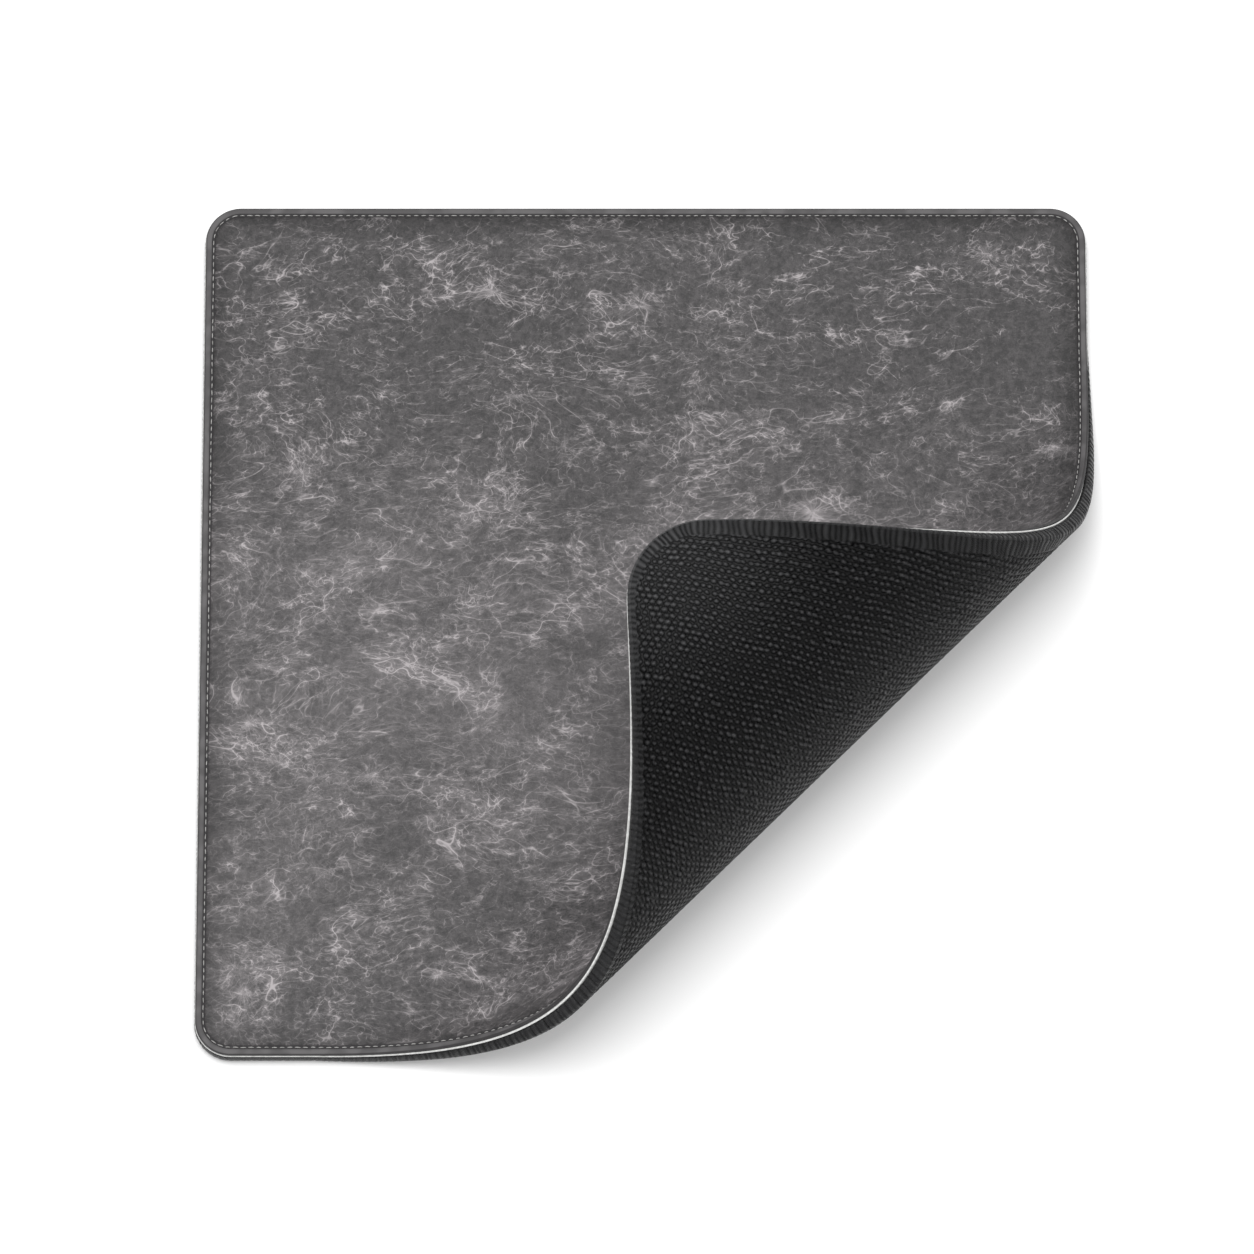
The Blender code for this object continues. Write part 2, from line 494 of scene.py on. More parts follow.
skin = {
    "ground": (0.030, 0.029, 0.0296, 1),
    "light": (0.322, 0.300, 0.306, 1),
    "hem": (0.076, 0.0730, 0.0745, 1),
    # painted shade for the stitch groove and the rounded rim
    "paintedEdgeShade": (0.022, 0.021, 0.022, 1),
    "contrast": 1.10,                      # steepness and level of the marbling between the two
    "level": -0.120,
    "streakTurn": -13.0,                   # degrees that the marbling's grain is turned by
    "streakLength": 0.62,                  # 1 for none; less draws the marbling out along the grain
    # each row of hairs: cells per millimetre, thickness, crinkle, strength
    "hairs": [(0.045, 0.0034, 2.0, 1.30), (0.075, 0.0052, 1.5, 1.15), (0.13, 0.0085, 2.0, 1.0),
              (0.17, 0.0110, 1.5, 0.9), (0.22, 0.0140, 1.5, 0.85), (0.29, 0.0180, 1.0, 0.75),
              (0.38, 0.0240, 1.0, 0.65), (0.55, 0.0350, 1.0, 0.5)],
    # each row of stars: cells per millimetre, reach in millimetres, strength
    "stars": [(0.024, 3.6, 0.85), (0.045, 2.6, 0.75)],
    "hemWidth": 1.75,                      # millimetres, as are the rest of the distances from the edge
    "rim": (0.14, 0.42),                   # painted shade on the rounded rim, full before the first, gone after the second
    "groove": (1.55, 1.85, 2.55, 2.95),    # the groove's shade starts, is full, fades, is gone
    "seamShade": (2.4, 12.0, 0.56),        # painted shade along the seam: darkest, back to full, tone at the darkest
    "roughness": 0.52,
    "rowLength": 0.0009,
    "columns": 24,                         # points across each face of a bend
    # (inset, height over the skin's top face) from the edge inwards, in millimetres
    "profile": [(0.0, -1.08), (0.0, -0.42), (0.06, -0.26), (0.22, -0.12), (0.5, -0.05), (1.1, -0.03),
                (1.6, -0.08), (1.8, -0.22), (2.0, -0.33), (2.2, -0.36), (2.4, -0.33), (2.6, -0.20),
                (2.9, -0.04), (3.4, 0.06), (4.4, 0.14), (6.0, 0.19), (9.0, 0.21), (12.0, 0.21)],
}


def moved(tree, vector, offset):
    return vectorNode(tree, "ADD", vector, offset)


def awayFromMiddle(tree, vector, cells, detail, rough):
    # how far a noise is from its middle level, which is 0 along wandering lines
    level = noise(tree, vector, cells, detail, rough)
    return mathNode(tree, "ABSOLUTE", mathNode(tree, "SUBTRACT", level, 0.5))


def hairLines(tree, vector, cells, thickness, crinkle):
    # a thin line with a faint glow round it
    away = awayFromMiddle(tree, vector, cells, crinkle, 0.58)
    thin = ramp(tree, away, 0.0, thickness, 1.0, 0.0)
    soft = ramp(tree, away, 0.0, thickness * 6, 1.0, 0.0)
    return plus(tree, times(tree, thin, 0.85), times(tree, soft, 0.15))


def softRidge(tree, vector, cells, width):
    return ramp(tree, awayFromMiddle(tree, vector, cells, 6.0, 0.64), 0.0, width, 1.0, 0.0)


def starBursts(tree, vector, cells, reach):
    # small bright knots with hairs running out of them
    voronoi = addNode(tree, "TexVoronoi", {"feature": "F1", "voronoi_dimensions": "2D"}, Vector=vector,
                      Scale=cells, Randomness=1.0)
    offset = vectorNode(tree, "SUBTRACT", vector, voronoi.outputs["Position"])
    flat = vectorNode(tree, "MULTIPLY", offset, (1, 1, 0))
    away = vectorNode(tree, "LENGTH", flat, output="Value")
    heading = vectorNode(tree, "NORMALIZE", flat)
    spokes = vectorNode(tree, "MULTIPLY_ADD", heading, (2.4, 2.4, 0), voronoi.outputs["Color"])
    rays = hairLines(tree, warp(tree, spokes, 1.2, 0.7), 2.6, 0.055, 1.0)
    chance = addNode(tree, "SeparateColor", None, Color=voronoi.outputs["Color"]).outputs[0]
    size = times(tree, ramp(tree, chance, 0.25, 1.0, 0.25, 1.5), reach)
    fade = mathNode(tree, "POWER", 2.718, times(tree, mathNode(tree, "DIVIDE", away, size), -1.0))
    middle = mathNode(tree, "POWER", fade, 3.0)
    return plus(tree, times(tree, times(tree, rays, fade), 0.9), times(tree, middle, 0.55))


def hairNet(tree, slow, quick, near):
    # every row of hairs has its own part of the noise, and its own breaks
    hairs = None
    for row, (cells, thickness, crinkle, strength) in enumerate(skin["hairs"]):
        ground = quick if row > 1 else slow
        lines = hairLines(tree, moved(tree, ground, (17.0 * row, -9.0 * row, 0)), cells, thickness, crinkle)
        gaps = moved(tree, quick, (5.0 - 13.0 * row, 31.0 * row, 0))
        breaks = noise(tree, gaps, 0.13 + 0.03 * row, 3.0, 0.7)
        share = times(tree, near, ramp(tree, breaks, 0.37, 0.66))
        lines = times(tree, times(tree, lines, share), strength)
        hairs = lines if hairs is None else plus(tree, hairs, lines)
    return hairs


def driftAndPaintedFalloff(tree, place, slow):
    # paler and darker areas, and painted shade that leaves the far edge and the front a little darker than
    # the middle
    drift = ramp(tree, noise(tree, moved(tree, slow, (40, 90, 0)), 0.021, 2.0, 0.5), 0.30, 0.70, 0.05, 0.15)
    away = addNode(tree, "SeparateXYZ", None, Vector=place).outputs["Y"]
    # painted shade: the light falls off towards the far edge and the front
    drift = plus(tree, drift, ramp(tree, away, 0.0, 80.0, 0.080, -0.095))
    return plus(tree, drift, ramp(tree, away, -80.0, -10.0, -0.070, 0.0))


def edgeColours(tree, veined, place, inset):
    # painted shade along the seam, where the padding is drawn down, then the hem, and the painted shade in
    # the groove and on the rounded rim
    shadeFrom, shadeTo, shadeTone = skin["seamShade"]
    seamShade = ramp(tree, inset, shadeFrom, shadeTo, shadeTone, 1.0)
    # painted shade along the seam
    veined = mixColour(tree, 1.0, veined, seamShade, "MULTIPLY")
    hemTone = ramp(tree, noise(tree, place, 0.22, 1.0, 0.4), 0.35, 0.65, 0.80, 1.20)
    hemColour = mixColour(tree, 1.0, skin["hem"], hemTone, "MULTIPLY")
    inHem = ramp(tree, inset, skin["hemWidth"] - 0.15, skin["hemWidth"] + 0.1, 1.0, 0.0)
    colour = mixColour(tree, inHem, veined, hemColour)
    start, full, fade, gone = skin["groove"]
    grooveShade = times(tree, ramp(tree, inset, start, full), ramp(tree, inset, fade, gone, 1.0, 0.0))
    rimShade = ramp(tree, inset, skin["rim"][0], skin["rim"][1], 1.0, 0.0)
    # painted shade in the stitch groove
    colour = mixColour(tree, times(tree, grooveShade, 0.85), colour, skin["paintedEdgeShade"])
    # painted shade where the edge rolls over
    return mixColour(tree, times(tree, rimShade, 0.80), colour, skin["paintedEdgeShade"])


def skinMaterial():
    material, tree, shader = newMaterial("marbledSkin")
    place = flatMillimetres(tree)
    inset = times(tree, attributeOf(tree, "inset"), 1000.0)
    turned = addNode(tree, "Mapping", None, Vector=place, Scale=(skin["streakLength"], 1.0, 1.0),
                     Rotation=(0, 0, math.radians(skin["streakTurn"]))).outputs[0]
    slow = warp(tree, turned, 0.035, 16.0)
    quick = warp(tree, slow, 0.15, 2.2, 3.0)
    # a pale web round darker islands, with the hairs gathered on it
    wide = softRidge(tree, slow, 0.048, 0.15)
    narrow = softRidge(tree, moved(tree, slow, (60, 20, 0)), 0.105, 0.13)
    patches = ramp(tree, noise(tree, slow, 0.060, 7.0, 0.66), 0.44, 0.66)
    cloud = plus(tree, times(tree, wide, 0.22), times(tree, narrow, 0.22))
    cloud = plus(tree, cloud, times(tree, patches, 0.56))
    near = ramp(tree, cloud, 0.10, 0.90, 0.34, 1.05)
    fuzz = times(tree, softRidge(tree, moved(tree, quick, (3, 50, 0)), 0.30, 0.10), near)
    hairs = hairNet(tree, slow, quick, near)
    for cells, reach, strength in skin["stars"]:
        stars = starBursts(tree, warp(tree, turned, 0.3, 1.2), cells, reach)
        hairs = plus(tree, hairs, times(tree, stars, ramp(tree, cloud, 0.1, 0.7, 0.35, strength)))
    mottle, speckle = grain(tree, place, 0.55, 2.6, 0.72)
    amount = plus(tree, times(tree, cloud, 0.10), times(tree, mathNode(tree, "POWER", hairs, 1.2), 0.72))
    amount = plus(tree, amount, times(tree, fuzz, 0.09))
    amount = plus(tree, amount, driftAndPaintedFalloff(tree, place, slow))
    amount = mathNode(tree, "MULTIPLY_ADD", amount, skin["contrast"], skin["level"])
    amount = mathNode(tree, "SMOOTH_MAX", amount, 0.04, 0.16)
    amount = plus(tree, amount, ramp(tree, mottle, 0.30, 0.70, -0.050, 0.085))
    amount = plus(tree, amount, ramp(tree, speckle, 0.30, 0.70, -0.040, 0.045))
    veined = mixColour(tree, amount, skin["ground"], skin["light"])
    tree.links.new(edgeColours(tree, veined, place, inset), shader.inputs["Base Color"])
    roughness = plus(tree, skin["roughness"] - 0.06, times(tree, mottle, 0.16))
    tree.links.new(roughness, shader.inputs["Roughness"])
    shader.inputs["Specular IOR Level"].default_value = 0.20
    relief = plus(tree, times(tree, mottle, 0.6), times(tree, speckle, 0.5))
    relief = plus(tree, relief, times(tree, hairs, 0.3))
    tree.links.new(bumpNode(tree, relief, 0.30, 0.00012), shader.inputs["Normal"])
    return material


def skinProfile():
    steps = [(inset / 1000, skinTop + height / 1000) for inset, height in skin["profile"]]
    return [(steps[-1][0], steps[0][1])] + steps


def makeSkin():
    material = skinMaterial()
    profile = skinProfile()
    for part in range(foldCount + 2):
        if 0 < part <= foldCount:
            mesh = bendSolid(lambda angle, atFront: profile, part, skin["rowLength"], skin["columns"])
        else:
            mesh = ringSolid(profile, part)
        makePiece(f"skin_{partName(part)}", mesh, part, material,
                  partNodes("top_skin", part), "folded" if part else "laid")
    print("skin made")


core = {
    "colour": (0.66, 0.66, 0.65, 1),
    "shade": (0.48, 0.48, 0.47, 1),
    "overlap": 0.0002,          # how far it stands out past the skin's edge, in metres
    "tipOverlap": 0.00042,      # the same at the rolled corner
    "drawnIn": -0.0005,         # the same on the right edge, where the roll starts
    "gapUnderSkin": 0.00030,
    "depth": 0.006,             # how far in from the edge its section is drawn
    "lowRounding": (0.0005, 0.00028),
    "highRounding": (0.0004, 0.00022),
    "rowLength": 0.0012,
    "columns": 12,
}


def coreMaterial():
    material, tree, shader = newMaterial("whiteCore")
    place = flatMillimetres(tree)
    lumps, fuzz = grain(tree, place, 0.9, 7.0, 0.65)
    colour = mixColour(tree, ramp(tree, lumps, 0.35, 0.65), core["shade"], core["colour"])
    tree.links.new(colour, shader.inputs["Base Color"])
    tree.links.new(ramp(tree, fuzz, 0.3, 0.7, 0.6, 0.85), shader.inputs["Roughness"])
    tree.links.new(bumpNode(tree, fuzz, 0.4, 0.0001), shader.inputs["Normal"])
    return material


def coreProfile(out):
    low, high = rubberTop + mat["rubberRise"], skinBottom - core["gapUnderSkin"]
    lowIn, lowUp = core["lowRounding"]
    highIn, highDown = core["highRounding"]
    return [(core["depth"], low), (lowIn - out, low), (-out, low + lowUp), (-out, high - highDown),
            (highIn - out, high), (core["depth"], high)]


def coreOverlap(angle, atFront):
    # it draws in where the right edge starts to roll, and creeps out again towards the tip
    drawn = core["overlap"]
    if not atFront:
        drawn += (core["drawnIn"] - core["overlap"]) * eased(angle, bendEdges[0], bendEdges[1])
    return drawn + (core["tipOverlap"] - drawn) * eased(angle, bendEdges[3], bendEdges[7])


def makeCore():
    material = coreMaterial()
    for part in range(foldCount + 2):
        if 0 < part <= foldCount:
            mesh = bendSolid(lambda angle, atFront: coreProfile(coreOverlap(angle, atFront)), part,
                             core["rowLength"], core["columns"])
        else:
            mesh = ringSolid(coreProfile(core["tipOverlap"] if part else core["overlap"]), part)
        makePiece(f"core_{partName(part)}", mesh, part, material,
                  partNodes("white_core", part), "folded" if part else "laid", core["overlap"])
    print("core made")


rubber = {
    # painted shade in the gaps between the nubs and in the grooves between the ribs
    "gap": (0.0006, 0.0006, 0.0007, 1),
    "colour": (0.0125, 0.0125, 0.0131, 1),
    # worn grey and painted highlight on the nub tops
    "wornAndPaintedHighlight": (0.095, 0.095, 0.098, 1),
    # painted sheen on the tip
    "paintedTipSheen": (0.066, 0.066, 0.068, 1),
    "tipLightReach": 60.0,          # millimetres from the rolled corner over which the rubber is painted lighter, where the tip faces the light
    "rowPitch": 1.70,            # millimetres between rows of nubs
    "nubPitch": 1.84,
    "rowTurn": 98.0,             # degrees from u that the rows run in
    "nubHeight": 0.22,
    "nubJitter": (0.22, 0.12),   # along and across the row, in pitches
    "nubSize": (0.82, 0.40),     # the smallest, and how much the largest has more
    "nubReach": (0.46, 0.42),    # along and across the row, in pitches
    "nubLean": 0.35,
    "bandWidth": (4.6, 1.8),     # plain ribbed band along the sides, and along the front and back
    "bandFade": 0.4,             # half the width over which the band gives way to the nubs
    "ribPitch": 1.70,
    "ribHeight": 0.10,
    "wallRib": 0.10,
    "wallFoot": 0.0006,          # metres that the foot of the edge wall lies in from its face
    "overlap": 0.0003,
    "rowLength": 0.00042,
    "tipRows": 1.5,              # times as many rows round the tip
    "columns": 680,
    "topColumns": 12,
    "fieldGrid": 368,            # rows and columns under the flat field
    "sharpFrom": 75,             # degrees
}


def scatter(cellA, cellB, seed):
    # a steady random number from 0 to 1 for each cell
    value = np.sin(cellA * 127.1 + cellB * 311.7 + seed * 74.7) * 43758.5453
    return value - np.floor(value)


def nubRelief(u, v):
    # knitted-looking nubs, as height from 0 to 1 over the ground of the rubber
    turn = math.radians(rubber["rowTurn"])
    x, y = u * 1000, v * 1000
    wander = 0.35 * np.sin(x * 0.11 + y * 0.07) + 0.25 * np.sin(y * 0.23 - x * 0.05)
    along = (x * math.cos(turn) + y * math.sin(turn)) / rubber["nubPitch"]
    across = (-x * math.sin(turn) + y * math.cos(turn) + wander) / rubber["rowPitch"]
    jitterA, jitterB = rubber["nubJitter"]
    smallest, spread = rubber["nubSize"]
    reachA, reachB = rubber["nubReach"]
    best = np.zeros_like(u)
    row = np.floor(across)
    for stepRow in (-1, 0, 1):
        cellRow = row + stepRow
        shifted = along + 0.5 * (cellRow % 2) + 0.12 * np.sin(cellRow * 1.7)
        cell = np.floor(shifted)
        for stepCell in (-1, 0, 1):
            cellNub = cell + stepCell
            middleA = cellNub + 0.5 + jitterA * (scatter(cellRow, cellNub, 1) - 0.5)
            middleB = cellRow + 0.5 + jitterB * (scatter(cellRow, cellNub, 2) - 0.5)
            size = smallest + spread * scatter(cellRow, cellNub, 3)
            lean = rubber["nubLean"] * (scatter(cellRow, cellNub, 4) - 0.3)
            da = (shifted - middleA) / (reachA * size)
            db = (across - middleB + lean * (shifted - middleA)) / (reachB * size)
            dome = np.clip(1 - da * da - db * db, 0, 1) ** 0.8
            best = np.maximum(best, dome * (0.45 + 0.55 * size))
    return np.clip(best, 0, 1)


def ribRelief(u, v):
    along = alongEdge(u, v) * 1000
    inset = insetOf(u, v) * 1000
    wander = 0.25 * np.sin(along * 0.9) + 0.15 * np.sin(inset * 1.1 + along * 0.35)
    wave = 0.5 + 0.5 * np.sin((along + wander) * 2 * math.pi / rubber["ribPitch"])
    return wave ** 0.6


def bandWidth(u, v):
    # wide along the sides, narrow along the front and back, and even round the corners
    wide, narrow = rubber["bandWidth"]
    _, side, end, turn, inCorner = nearEdge(u, v)
    share = np.where(inCorner, turn / (math.pi / 2), (side > end) * 1.0)
    return wide + (narrow - wide) * share


def undersideRelief(u, v):
    # 0 in the gaps, 1 on the tops, which also sets the painted shade in the gaps; and how far the tops reach
    # below the ground, in metres
    inset = insetOf(u, v) * 1000
    share = eased(inset - bandWidth(u, v), -rubber["bandFade"], rubber["bandFade"])
    nubs, ribs = nubRelief(u, v), ribRelief(u, v) * np.clip(inset / 0.5, 0, 1) ** 0.5
    base = rubber["nubHeight"] - rubber["ribHeight"]
    reach = nubs * rubber["nubHeight"] * share + (base + ribs * rubber["ribHeight"]) * (1 - share)
    return nubs * share + (0.10 + 0.42 * ribs) * (1 - share), (rubber["nubHeight"] - reach) / 1000


def rubberMaterial():
    material, tree, shader = newMaterial("blackRubber")
    place = flatMillimetres(tree)
    relief = attributeOf(tree, "relief")
    cells, grit = grain(tree, place, 1.1, 5.0, 0.67)
    wearAndHighlight = ramp(tree, plus(tree, times(tree, cells, 0.6), times(tree, grit, 0.4)), 0.42, 0.64)
    corner = (halfSide * 1000, -halfSide * 1000, 0)
    fromCorner = vectorNode(tree, "DISTANCE", place, corner, output="Value")
    # painted highlight: lighter towards the rolled corner, where the tip faces the light
    paintedTipLight = ramp(tree, fromCorner, 5.0, rubber["tipLightReach"], 1.0, 0.0)
    wearAndHighlight = times(tree, wearAndHighlight, plus(tree, 0.36, times(tree, paintedTipLight, 0.6)))
    # lighter on the nub tops: wear in random patches, and painted highlight
    wearAndHighlight = times(tree, wearAndHighlight, ramp(tree, relief, 0.35, 1.0))
    top = mixColour(tree, wearAndHighlight, rubber["colour"], rubber["wornAndPaintedHighlight"])
    # painted shade in the gaps between nubs and ribs
    ground = mixColour(tree, ramp(tree, relief, 0.12, 0.55), rubber["gap"], top)
    # painted sheen on the tip, strongest on the tops
    tipSheenShare = times(tree, paintedTipLight, ramp(tree, relief, 0.0, 0.8, 0.14, 0.75))
    tree.links.new(mixColour(tree, tipSheenShare, ground, rubber["paintedTipSheen"]), shader.inputs["Base Color"])
    tree.links.new(ramp(tree, grit, 0.3, 0.7, 0.17, 0.42), shader.inputs["Roughness"])
    shader.inputs["Specular IOR Level"].default_value = 0.13
    rough = bumpNode(tree, plus(tree, grit, times(tree, cells, 0.8)), 0.6, 0.00018)
    tree.links.new(bumpNode(tree, relief, 1.0, 0.00095, rough), shader.inputs["Normal"])
    return material


def rubberWall():
    # the edge wall from the underside up, as (distance out past the outline, height)
    out, top = rubber["overlap"], rubberTop + mat["rubberRise"]
    return [(out - rubber["wallFoot"], 0.0003), (out - 0.0002, 0.0005), (out, 0.0010), (out + 0.0001, 0.0020),
            (out, top - 0.0006), (out - 0.0001, top - 0.0002), (out - 0.0004, top)]


def wallRings(points, outward):
    # the edge wall over a row of outline points, with the same ribs as the band beside it
    ribs = ribRelief(points[:, 0], points[:, 1])
    rings = []
    for step, (out, height) in enumerate(rubberWall()):
        swell = rubber["wallRib"] / 1000 * ribs if 1 < step < 5 else 0 * ribs
        place = points + outward * (out + swell - rubber["wallRib"] / 2000)[:, None]
        rings.append(np.column_stack([place, np.full(len(points), height)]))
    # the second number is the wall's tone, darker between the ribs for painted shade
    return np.array(rings), 0.25 + 0.45 * ribs


def edgePoint(angle, atFront):
    # where a ray leaves the outline near the rolled corner, and the way out of the mat there
    ray = np.array([math.cos(angle), math.sin(angle)])
    right, front = rayEnds(angle)
    point = apex + ray * (front if atFront else right)
    normal = np.array([0.0, -1.0]) if atFront else np.array([1.0, 0.0])
    radius = mat["rolledCornerRadius"]
    past = point[0] > halfSide - radius if atFront else point[1] < radius - halfSide
    if past:
        middle = cornerMiddle - apex
        along = middle @ ray
        gap = max(radius * radius - (middle @ middle - along * along), 0.0)
        point = apex + ray * (along + math.sqrt(gap) * (1 if atFront else -1))
        normal = (point - cornerMiddle) / radius
    return point, normal


def rubberGrid(part):
    if part > foldCount:
        low, high = bendEdges[-1], tipAngle
        rows = round((high - low) * cornerSpan / rubber["rowLength"] * rubber["tipRows"]) + 1
        angles = low + (high - low) * np.sin(np.linspace(0, math.pi / 2, rows))
        angles[-1] = high - 1e-7
    else:
        low, high = bendEdges[part - 1], bendEdges[part]
        wide = rayEnds(foldAngles[part - 1])[1]
        rows = round((high - low) * wide / rubber["rowLength"]) + 1
        angles = np.linspace(low, high, rows)
    right, rightOut = [np.array(x) for x in zip(*[edgePoint(angle, False) for angle in angles])]
    front, frontOut = [np.array(x) for x in zip(*[edgePoint(angle, True) for angle in angles])]
    rightWall, rightTone = wallRings(right, rightOut)
    frontWall, frontTone = wallRings(front, frontOut)
    share = np.linspace(0, 1, rubber["columns"] + 2)[1:-1, None, None]
    under = rightWall[0] + share * (frontWall[0] - rightWall[0])
    tone, under[:, :, 2] = undersideRelief(under[:, :, 0], under[:, :, 1])
    share = np.linspace(0, 1, rubber["topColumns"] + 2)[1:-1, None, None]
    over = frontWall[-1] + share * (rightWall[-1] - frontWall[-1])
    points = np.concatenate([rightWall[::-1], under, frontWall, over]).transpose(1, 0, 2)
    steps = len(rightWall)
    tones = np.concatenate([np.tile(rightTone, (steps, 1)), tone, np.tile(frontTone, (steps, 1)),
                            np.full(over.shape[:2], 0.5)]).T
    return meshFromGrid(points, "relief", tones)


def roundCorners(x, y):
    # a square grid drawn in at its corners, ring by ring, until its outline is the mat's
    signX, signY = np.sign(x), np.sign(y)
    radius = mat["cornerRadius"]
    middle = halfSide - radius
    a, b = np.abs(x) - middle, np.abs(y) - middle
    corner = (a > 0) & (b > 0)
    reach = np.maximum(a, b)
    turn = np.where(corner, np.minimum(a, b) / np.where(corner, reach, 1) * math.pi / 4, 0)
    turn = np.where(a >= b, turn, math.pi / 2 - turn)
    roundX = signX * (middle + reach * np.cos(turn))
    roundY = signY * (middle + reach * np.sin(turn))
    return np.where(corner, roundX, x), np.where(corner, roundY, y)


def rubberField():
    # the flat field's underside as one grid, its edge wall, and a plain top under the core
    count = rubber["fieldGrid"]
    line = np.linspace(-halfSide, halfSide, count + 1)
    x, y = roundCorners(*np.meshgrid(line, line))
    ring = np.concatenate([np.arange(count), np.arange(count) * (count + 1) + count,
                           (count + 1) ** 2 - 1 - np.arange(count),
                           count * (count + 1) - np.arange(count) * (count + 1)])
    x, y = x.ravel(), y.ravel()
    edge = np.column_stack([x[ring], y[ring]])
    run = np.roll(edge, -1, 0) - np.roll(edge, 1, 0)
    outward = np.column_stack([run[:, 1], -run[:, 0]]) / np.linalg.norm(run, axis=1)[:, None]
    rings, wallTone = wallRings(edge, outward)
    shrink = 1 - (rubber["wallFoot"] - rubber["overlap"] + rubber["wallRib"] / 2000) / halfSide
    x, y = x * shrink, y * shrink
    tone, height = undersideRelief(x, y)
    rings = rings[1:]
    points = np.concatenate([np.column_stack([x, y, height]), rings.reshape(-1, 3)])
    tones = np.concatenate([tone, np.tile(wallTone, len(rings))])
    index = np.arange((count + 1) ** 2).reshape(count + 1, count + 1)
    quads = np.stack([index[:-1, :-1], index[1:, :-1], index[1:, 1:], index[:-1, 1:]], -1)
    faces = quads.reshape(-1, 4).tolist()
    loops = [ring] + [len(x) + k * len(ring) + np.arange(len(ring)) for k in range(len(rings))]
    for below, above in zip(loops, loops[1:]):
        faces += np.stack([below, np.roll(below, -1), np.roll(above, -1), above], -1).tolist()
    faces.append(loops[-1].tolist())
    return closedMesh("rubberField", points, faces, "relief", tones, bendEdges[0])


def makeRubber():
    material = rubberMaterial()
    for part in range(foldCount + 2):
        mesh = rubberGrid(part) if part else rubberField()
        makePiece(f"rubber_{partName(part)}", mesh, part, material,
                  partNodes("rubber_base", part), "folded" if part else "laid", rubber["overlap"],
                  rubber["sharpFrom"])
    print("rubber made")


stitch = {
    "inset": 2.2,                   # millimetres from the edge
    "pitch": 2.15,
    "length": 1.62,
    "width": 0.31,
    "height": 0.28,
    "lengthSpread": (0.78, 1.12),   # times the length
    "asideSpread": 0.05,            # millimetres either way
    "skewSpread": 0.07,             # radians either way
    "seed": 7,
    "endWidth": 0.55,               # of the width, at the ends
    "dive": 0.9,                    # heights that the ends go down
    "colour": (0.36, 0.352, 0.345, 1),
    "shade": (0.17, 0.165, 0.16, 1),
}


def threadMaterial():
    material, tree, shader = newMaterial("stitchThread")
    place = flatMillimetres(tree)
    tint, strands = grain(tree, place, 0.35, 5.0, 0.58)
    tone = ramp(tree, plus(tree, times(tree, strands, 0.5), times(tree, tint, 0.5)), 0.38, 0.60)
    tree.links.new(mixColour(tree, tone, stitch["shade"], stitch["colour"]), shader.inputs["Base Color"])
    tree.links.new(ramp(tree, strands, 0.3, 0.7, 0.55, 0.75), shader.inputs["Roughness"])
    tree.links.new(bumpNode(tree, strands, 0.5, 0.0001), shader.inputs["Normal"])
    return material


def oneStitch():
    # a short thread that dives into the skin at both ends, lying along X, one unit long
    bpy.ops.object.select_all(action="DESELECT")
    bpy.ops.mesh.primitive_cylinder_add(vertices=6, radius=0.5, depth=1.0, end_fill_type="TRIFAN",
                                        rotation=(0, math.pi / 2, 0))
    shape = bpy.context.active_object
    bpy.ops.object.transform_apply(location=True, rotation=True, scale=True)
    bpy.ops.object.mode_set(mode="EDIT")
    bpy.ops.mesh.select_all(action="DESELECT")
    bm = bmesh.from_edit_mesh(shape.data)
    for edge in bm.edges:
        a, b = (vert.co for vert in edge.verts)
        edge.select_set(abs(a.x - b.x) > 0.9)
    bmesh.update_edit_mesh(shape.data)
    bpy.ops.mesh.subdivide(number_cuts=4)
    bpy.ops.object.mode_set(mode="OBJECT")
    verts = np.array([vert.co for vert in shape.data.vertices])
    faces = [list(face.vertices) for face in shape.data.polygons]
    bpy.data.objects.remove(shape, do_unlink=True)
    bow = 1 - (2 * verts[:, 0]) ** 2
    slim = stitch["endWidth"] + (1 - stitch["endWidth"]) * bow
    verts[:, 1] *= slim
    verts[:, 2] = verts[:, 2] * slim + (bow - 1) * stitch["dive"]
    return verts, faces


def seamPath():
    # the stitch line as points and headings, a stitch apart, starting on the left edge
    cornerSteps, lookAhead = 24, 0.0002
    points = outline(stitch["inset"] / 1000, cornerSteps)
    points = np.vstack([points, points[:1]])
    lengths = np.concatenate([[0], np.cumsum(np.linalg.norm(np.diff(points, axis=0), axis=1))])
    count = round(lengths[-1] * 1000 / stitch["pitch"])
    marks = (np.arange(count) + 0.5) * lengths[-1] / count
    at = np.stack([np.interp(marks, lengths, points[:, i]) for i in (0, 1)], 1)
    ahead = np.stack([np.interp(marks + lookAhead, lengths, points[:, i]) for i in (0, 1)], 1)
    heading = ahead - at
    return at, heading / np.linalg.norm(heading, axis=1)[:, None], lengths[-1] / count


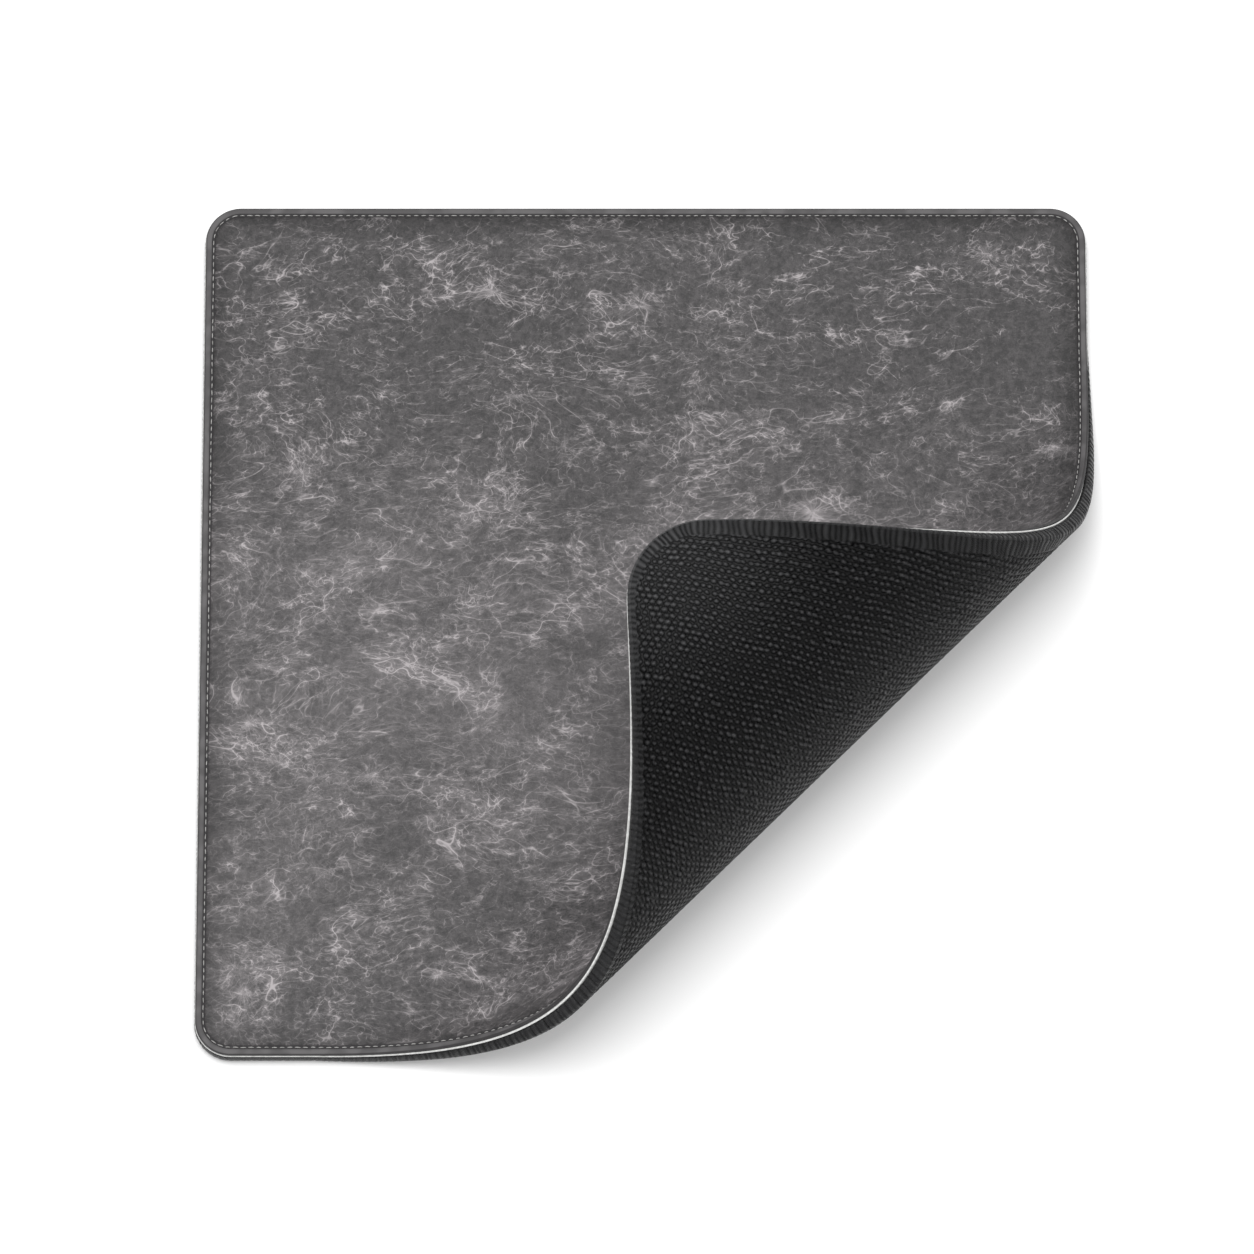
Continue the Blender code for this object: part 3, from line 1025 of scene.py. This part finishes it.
def makeStitches():
    material = threadMaterial()
    shape, faces = oneStitch()
    at, heading, pitch = seamPath()
    angles = np.arctan2(at[:, 1] - apex[1], at[:, 0] - apex[0]) % (2 * math.pi)
    parts = np.searchsorted(bendEdges, angles)
    chance = np.random.default_rng(stitch["seed"])
    longer = chance.uniform(*stitch["lengthSpread"], len(at)) * stitch["length"] / 1000
    aside = chance.uniform(-stitch["asideSpread"], stitch["asideSpread"], len(at)) / 1000
    skew = chance.uniform(-stitch["skewSpread"], stitch["skewSpread"], len(at))
    groove = skinTop + min(height for _, height in skin["profile"][2:]) / 1000
    for part in range(foldCount + 2):
        verts, polys = [], []
        for i in np.flatnonzero(parts == part):
            turn = math.atan2(heading[i, 1], heading[i, 0]) + skew[i]
            c, s = math.cos(turn), math.sin(turn)
            x = shape[:, 0] * longer[i]
            y = shape[:, 1] * stitch["width"] / 1000 + aside[i]
            z = groove + (shape[:, 2] + 0.5) * stitch["height"] / 1000
            base = len(verts) * len(shape)
            verts.append(np.stack([at[i, 0] + x * c - y * s, at[i, 1] + x * s + y * c, z], 1))
            polys += [[base + k for k in face] for face in faces]
        mesh = bpy.data.meshes.new("stitches")
        mesh.from_pydata(np.concatenate(verts).tolist(), [], polys)
        makePiece(f"stitches_{partName(part)}", mesh, part, material,
                  partNodes("needle_thread", part))
    print("stitches made:", len(at), "at", round(pitch * 1000, 2), "mm")


studio = {
    "floor": (0.90, 0.90, 0.90, 1),
    "world": 0.74,
    "key": {"place": (-0.22, 0.30, 2.25), "size": 1.6, "power": 44.0},
    "fill": {"place": (0.9, -0.9, 1.8), "size": 1.2, "power": 8.0},
    "target": (-0.0053, 0.0015, 0.0),
    "elevation": 71.9,
    "distance": 2.75,
    "lens": 280.6,
    "floorSize": 8,
    "floorDrop": 0.0002,
}


def makeStudio():
    bpy.ops.object.select_all(action="DESELECT")
    bpy.ops.mesh.primitive_plane_add(size=studio["floorSize"], location=(0, 0, -studio["floorDrop"]))
    floor = bpy.context.active_object
    floor.name = "floor"
    material, tree, shader = newMaterial("paleFloor")
    shader.inputs["Base Color"].default_value = studio["floor"]
    shader.inputs["Roughness"].default_value = 0.9
    shader.inputs["Specular IOR Level"].default_value = 0.1
    floor.data.materials.append(material)
    bpy.context.scene.view_settings.view_transform = "Standard"
    world = bpy.data.worlds.new("studioWorld")
    bpy.context.scene.world = world
    world.use_nodes = True
    background = world.node_tree.nodes["Background"]
    background.inputs["Color"].default_value = (1, 1, 1, 1)
    background.inputs["Strength"].default_value = studio["world"]
    for name in ("key", "fill"):
        lamp = studio[name]
        bpy.ops.object.light_add(type="AREA", location=lamp["place"])
        light = bpy.context.active_object
        light.name = name + "Light"
        light.data.size = lamp["size"]
        light.data.energy = lamp["power"]
        light.rotation_euler = (-Vector(lamp["place"])).to_track_quat("-Z", "Y").to_euler()
    tilt = math.radians(studio["elevation"])
    target = Vector(studio["target"])
    back = Vector((0, -math.cos(tilt), math.sin(tilt)))
    bpy.ops.object.camera_add(location=target + back * studio["distance"])
    camera = bpy.context.active_object
    camera.rotation_euler = (-back).to_track_quat("-Z", "Y").to_euler()
    camera.data.lens = studio["lens"]
    camera.data.sensor_width = 36
    bpy.context.scene.camera = camera
    print("studio made")


surfaceGrain()
makeStudio()
makeSkin()
makeCore()
makeRubber()
makeStitches()
